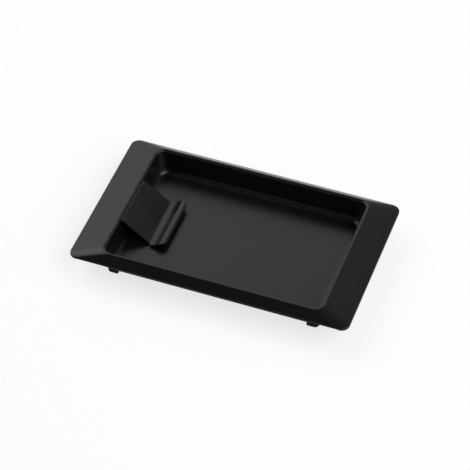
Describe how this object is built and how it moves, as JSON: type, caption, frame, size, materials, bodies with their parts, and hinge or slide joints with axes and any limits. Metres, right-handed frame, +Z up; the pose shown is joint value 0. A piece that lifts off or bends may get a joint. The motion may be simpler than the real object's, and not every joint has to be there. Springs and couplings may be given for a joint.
{
  "type": "bill tray with a sprung clip",
  "caption": "Shallow rectangular counter tray with a raised rounded ridge, sloping rim and rubber feet, and a sprung hinged clip that holds bills and slips.",
  "frame": {"origin": "on the surface the feet stand on, under the middle of the tray's outline", "axes": "+X along the tray, away from the clip; +Y across it, to the back; +Z up"},
  "size_m": [0.183, 0.112, 0.0212],
  "materials": {
    "tray_plastic": "satin",
    "clip_plastic": "satin",
    "pin_steel": "blackened",
    "spring_steel": "blackened",
    "foot_rubber": "matte"
  },
  "bodies": {
    "tray_body": {"tray": "tray_plastic", "torsion_spring": "spring_steel", "foot_front_left": "foot_rubber", "foot_front_right": "foot_rubber", "foot_back_left": "foot_rubber", "foot_back_right": "foot_rubber"},
    "clip_body": {"clip_lever": "clip_plastic", "hinge_pin": "pin_steel"}
  },
  "joints": [
    {"name": "clip_hinge", "type": "hinge", "parent": "tray_body", "child": "clip_body", "pos_m": [-0.06999, 0, 0.0183], "axis": [0, -1, 0], "range_deg": [0, 38], "stiffness_Nm_per_rad": 0.0031, "springref_deg": -89.95, "deforming": ["torsion_spring"]}
  ]
}
